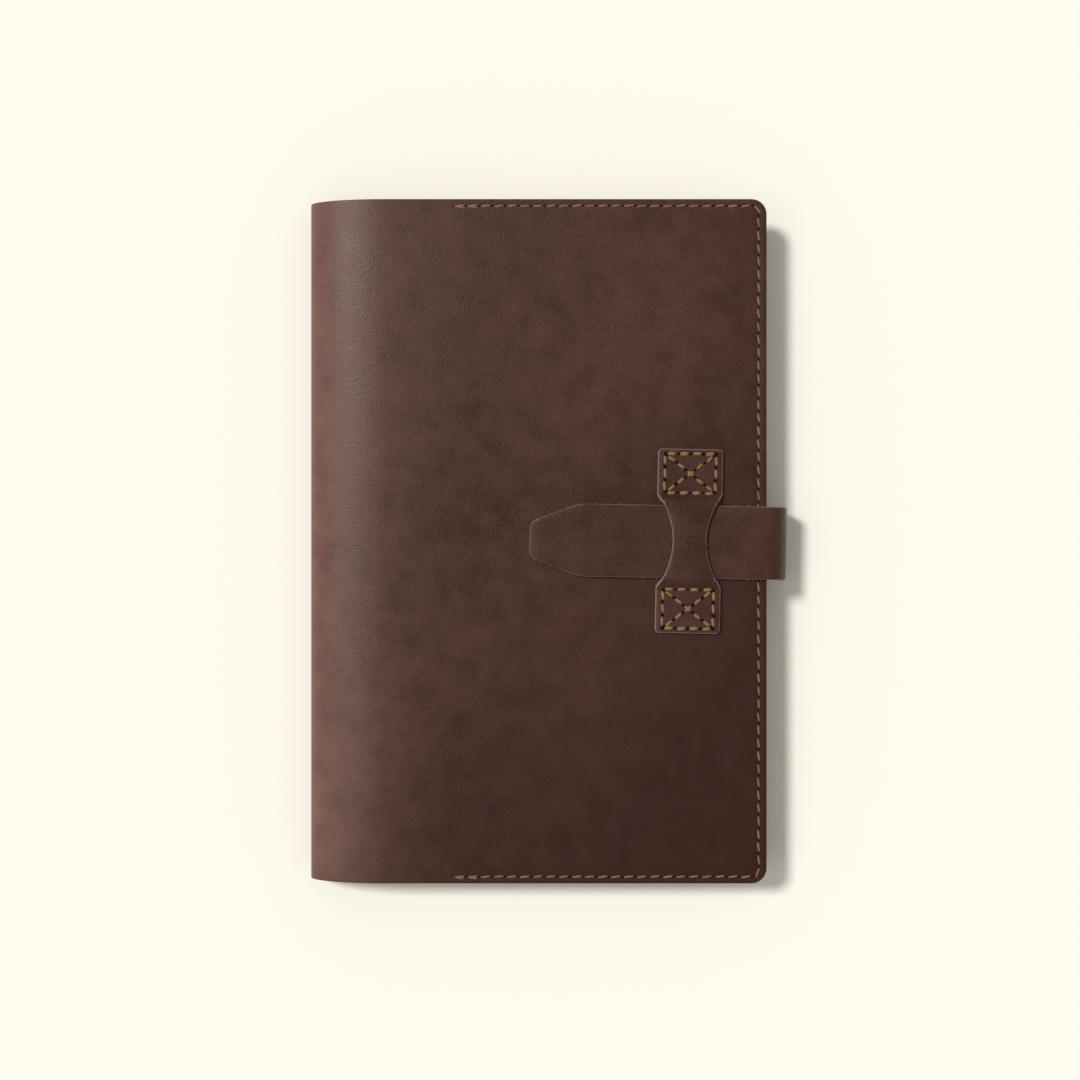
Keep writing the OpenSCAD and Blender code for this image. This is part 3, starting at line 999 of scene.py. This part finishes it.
# place on the seam at a distance from its start at the head: x, y and direction in degrees
def seamAt(distance):
    runX = seam["x"] - seam["corner"] - seam["startX"]
    runArc = seam["corner"] * math.pi / 2
    runY = 2 * (seam["y"] - seam["corner"])
    total = 2 * runX + 2 * runArc + runY
    if distance < runX:
        return seam["startX"] + distance, seam["y"], 0
    if distance > total - runX:
        return seam["startX"] + total - distance, -seam["y"], 180
    if runX + runArc <= distance <= runX + runArc + runY:
        return seam["x"], seam["y"] - seam["corner"] - (distance - runX - runArc), -90
    head = distance < runX + runArc
    share = (distance - runX) / runArc if head else (distance - runX - runArc - runY) / runArc
    turn = math.radians(90 - 90 * share if head else -90 * share)
    x = seam["x"] - seam["corner"] + seam["corner"] * math.cos(turn)
    y = (1 if head else -1) * (seam["y"] - seam["corner"]) + seam["corner"] * math.sin(turn)
    return x, y, math.degrees(turn) - 90


def seamLength():
    runX = seam["x"] - seam["corner"] - seam["startX"]
    return 2 * runX + seam["corner"] * math.pi + 2 * (seam["y"] - seam["corner"])


def sewEdge(z, facesUp, seed):
    dice = random.Random(seed)
    pitch = seamLength() / seam["stitches"]
    sign = 1 if facesUp else -1
    parts = []
    for i in range(seam["stitches"]):
        x, y, direction = seamAt((i + 0.5) * pitch)
        wander = dice.uniform(-0.07, 0.07) * mm
        slant = stitch["edgeSlant"] + dice.uniform(-2.5, 2.5)
        length = pitch * stitch["edgeShare"] * dice.uniform(0.95, 1.02)
        thick = dice.uniform(0.92, 1.08)
        ends = i < 2 or i > seam["stitches"] - 3
        lift = stitch["backLift"] if ends else 0.0
        centre = (x + wander, y + wander, z + sign * (stitch["holeLift"] + lift))
        size = (length, stitch["edgeWidth"] * thick, stitch["edgeHeight"])
        parts.append(copyAt(oneStitch, centre, direction + slant, size, facesUp))
        if ends:
            second = (x + wander, y + wander - stitch["backShift"], z + sign * 0.05 * mm)
            parts.append(copyAt(oneStitch, second, direction - slant, size, facesUp))
        # painted shade: a dark disc at each awl hole
        x, y, direction = seamAt(i * pitch + 0.01 * mm)
        size = (stitch["holeLength"], stitch["holeWidth"], stitch["holeHeight"])
        place = (x, y, z + sign * stitch["holeLift"])
        parts.append(copyAt(oneHoleShade, place, direction + stitch["holeSlant"], size, facesUp))
    return parts


def makeEdgeStitches(name, outerZ, outerUp, innerZ, body, node):
    parts = sewEdge(outerZ, outerUp, 11) + sewEdge(innerZ, not outerUp, 17)
    row = joinStitches(parts, name, edgeThread)
    finishStitches(row, node, body)


grooveZ = cover["grooveDepth"]
frontInnerZ = frontPocketLow.z + pocket["frontPressed"]
backOuterZ = grooveZ + stitch["tableGap"]
backInnerZ = pocketHigh.z - pocket["backPressed"]
makeEdgeStitches("front_edge_stitches", coverT - grooveZ, True, frontInnerZ, "front_cover", "front_seam")
makeEdgeStitches("back_edge_stitches", backOuterZ, False, backInnerZ, "back_cover", "back_seam")
print("edge seams are sewn")

padBox = {
    "halfX": 8.2 * mm,
    "halfY": 6.35 * mm,
    "middleY": (keeperHigh.y - keeperLow.y) / 2 - 7.95 * mm,
    "long": 4,
    "short": 3,
    "diagonal": 5,
    "sideGirth": 0.74,
    "diagonalGirth": 0.78,
    "diagonalInset": 0.035,
}


def sewRow(begin, end, count, z, thick, dice):
    parts = []
    run = end - begin
    direction = math.degrees(math.atan2(run.y, run.x))
    for i in range(count):
        middle = begin + run * ((i + 0.5) / count)
        nudge = Vector((dice.uniform(-0.1, 0.1), dice.uniform(-0.1, 0.1))) * mm
        length = run.length / count * stitch["padShare"] * dice.uniform(0.94, 1.03)
        size = (length, stitch["padWidth"] * thick * dice.uniform(0.9, 1.1), stitch["padHeight"] * thick)
        slant = direction + stitch["padSlant"] + dice.uniform(-4, 4)
        centre = (middle.x + nudge.x, middle.y + nudge.y, z)
        parts.append(copyAt(oneStitch, centre, slant, size, True))
    # painted shade: a dark disc at each awl hole
    for i in range(count + 1):
        hole = begin + run * (i / count)
        size = (stitch["padHoleLength"], stitch["padHoleWidth"], stitch["padHoleHeight"])
        place = (hole.x, hole.y, z + stitch["holeLift"])
        parts.append(copyAt(oneHoleShade, place, direction + stitch["padHoleSlant"], size, True))
    return parts


def makePadStitches(name, side, node):
    dice = random.Random(29 + side)
    z = keeper["padZ"] + 0.08 * mm
    middle = Vector((keeperX, side * padBox["middleY"]))
    hx, hy = padBox["halfX"], padBox["halfY"]
    corners = [middle + Vector(c) for c in ((-hx, hy), (hx, hy), (hx, -hy), (-hx, -hy))]
    parts = []
    parts += sewRow(corners[0], corners[1], padBox["long"], z, 1.0, dice)
    parts += sewRow(corners[3], corners[2], padBox["long"], z, 1.0, dice)
    parts += sewRow(corners[0], corners[3], padBox["short"], z, padBox["sideGirth"], dice)
    parts += sewRow(corners[1], corners[2], padBox["short"], z, padBox["sideGirth"], dice)
    for begin, end in ((corners[0], corners[2]), (corners[1], corners[3])):
        inset = (end - begin) * padBox["diagonalInset"]
        parts += sewRow(begin + inset, end - inset, padBox["diagonal"], z, padBox["diagonalGirth"], dice)
    row = joinStitches(parts, name, keeperThread)
    tiltKeeper(row)
    finishStitches(row, node, "front_cover")


makePadStitches("head_keeper_stitches", 1, "head_pad_stitches")
makePadStitches("tail_keeper_stitches", -1, "tail_pad_stitches")
for model in (oneStitch, oneHoleShade):
    bpy.data.objects.remove(model)
print("keeper is sewn down")

# notebook: a folded card round twelve signatures, each of four folded sheets

pageFinish = leafPaper("ivoryPages", (0.80, 0.75, 0.63), (0.50, 0.45, 0.36))
endFinish = leafPaper("buffEndpaper", (0.62, 0.54, 0.40), (0.46, 0.39, 0.28), lined=False)
cardFinish = coverCard("darkCard")
clothFinish = openWeave("mullCloth")
for nodeName in ("back_endpaper", "front_endpaper"):
    dress(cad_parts[nodeName], endFinish)
dress(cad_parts["spine_mull"], clothFinish)

notebook = {
    "corner": 6 * mm,
    "cardThickness": 0.5 * mm,
    "cardFold": 1.3 * mm,
    "scoreAt": 6.5 * mm,
    "scoreHalf": 1 * mm,
    "scoreDepth": 0.14 * mm,
    "foldSteps": 5,
    "creep": 0.05 * mm,
    "cardEase": 0.12 * mm,
    "signatures": 12,
    "sheets": 4,
    "paper": 0.082 * mm,
    "drift": 0.10 * mm,
}


# a sheet folded along the spine: lower leaf, round fold, upper leaf; outer face outwards
def foldSheet(name, low, high, fold, thickness, reach, finish, ease=0.0):
    x0, x1 = low.x, high.x - reach
    corner = notebook["corner"]
    sheet = layStrip(name, x1 - corner, x1, low.y, high.y, low.z)
    openMesh(sheet)
    pick("EDGE", lambda edge: all(near(v.co.x, x1 - corner) for v in edge.verts))
    scoreX = x0 + notebook["scoreAt"]
    beside = notebook["scoreHalf"]
    path = [(x1 - corner, low.z), (scoreX + beside, low.z), (scoreX, low.z), (scoreX - beside, low.z)]
    path += [(x0 + fold, low.z)]
    path += quarter(x0 + fold, low.z + fold, fold, fold, 270, 180, notebook["foldSteps"])
    path += quarter(x0 + fold, high.z - fold, fold, fold, 180, 90, notebook["foldSteps"])
    path += [(scoreX - beside, high.z), (scoreX, high.z), (scoreX + beside, high.z)]
    path += [(x1 - corner, high.z), (x1, high.z)]
    drawOut(path)
    roundCorners(lambda v: near(v.co.x, x1) and (near(v.co.y, low.y) or near(v.co.y, high.y)), corner, 7)
    bpy.ops.mesh.select_mode(type="FACE")
    bpy.ops.mesh.select_all(action="SELECT")
    bpy.ops.mesh.remove_doubles(threshold=1e-7)
    bpy.ops.mesh.flip_normals()
    closeMesh()
    if ease:
        for vertex in sheet.data.vertices:
            if near(vertex.co.x, scoreX) and near(vertex.co.z, high.z):
                vertex.co.z -= notebook["scoreDepth"]
    dress(sheet, finish)
    applyModifier(sheet, "SOLIDIFY", thickness=thickness, offset=-1, use_even_offset=True)
    if ease:
        applyModifier(sheet, "BEVEL", width=ease, segments=2, limit_method="ANGLE",
                      angle_limit=math.radians(50))
    softShade(sheet)
    return sheet


def makeCard():
    card = foldSheet("notebook_card", bookLow, bookHigh, notebook["cardFold"], notebook["cardThickness"], 0,
                     cardFinish, notebook["cardEase"])
    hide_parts("notebook_cover")
    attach(card, "back_cover")


def makeSignatures():
    dice = random.Random(41)
    firstLow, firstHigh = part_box("signature_1")
    deep = firstHigh.z - firstLow.z
    layer = deep / (2 * notebook["sheets"])
    nest = []
    for i in range(notebook["sheets"]):
        low = Vector((firstLow.x + i * layer, firstLow.y, firstLow.z + i * layer))
        high = Vector((firstHigh.x, firstHigh.y, firstHigh.z - i * layer))
        fold = (high.z - low.z) / 2 - 1e-6
        reach = (notebook["sheets"] - i - 1) * notebook["creep"]
        nest.append(foldSheet("oneSheet", low, high, fold, notebook["paper"], reach, pageFinish))
    for number in range(1, notebook["signatures"] + 1):
        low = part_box(f"signature_{number}")[0]
        parts = []
        for model in nest:
            copy = copyOf(model)
            shift = (-dice.random() * notebook["drift"], dice.uniform(-0.6, 0.6) * notebook["drift"],
                     low.z - firstLow.z)
            copy.data.transform(Matrix.Translation(shift))
            parts.append(copy)
        gathered = joinAll(parts, f"signature_{number}_leaves")
        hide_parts(f"signature_{number}")
        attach(gathered, "back_cover")
    for model in nest:
        bpy.data.objects.remove(model)


makeCard()
makeSignatures()
print("notebook is in its pocket")

# table

floor = {
    "size": 60,
    "z": -0.2 * mm,
}
dropSelection()
bpy.ops.mesh.primitive_plane_add(size=floor["size"], location=(0, 0, floor["z"]))
table = bpy.context.object
table.name = "paleTable"
dress(table, tableTop("paleTable"))
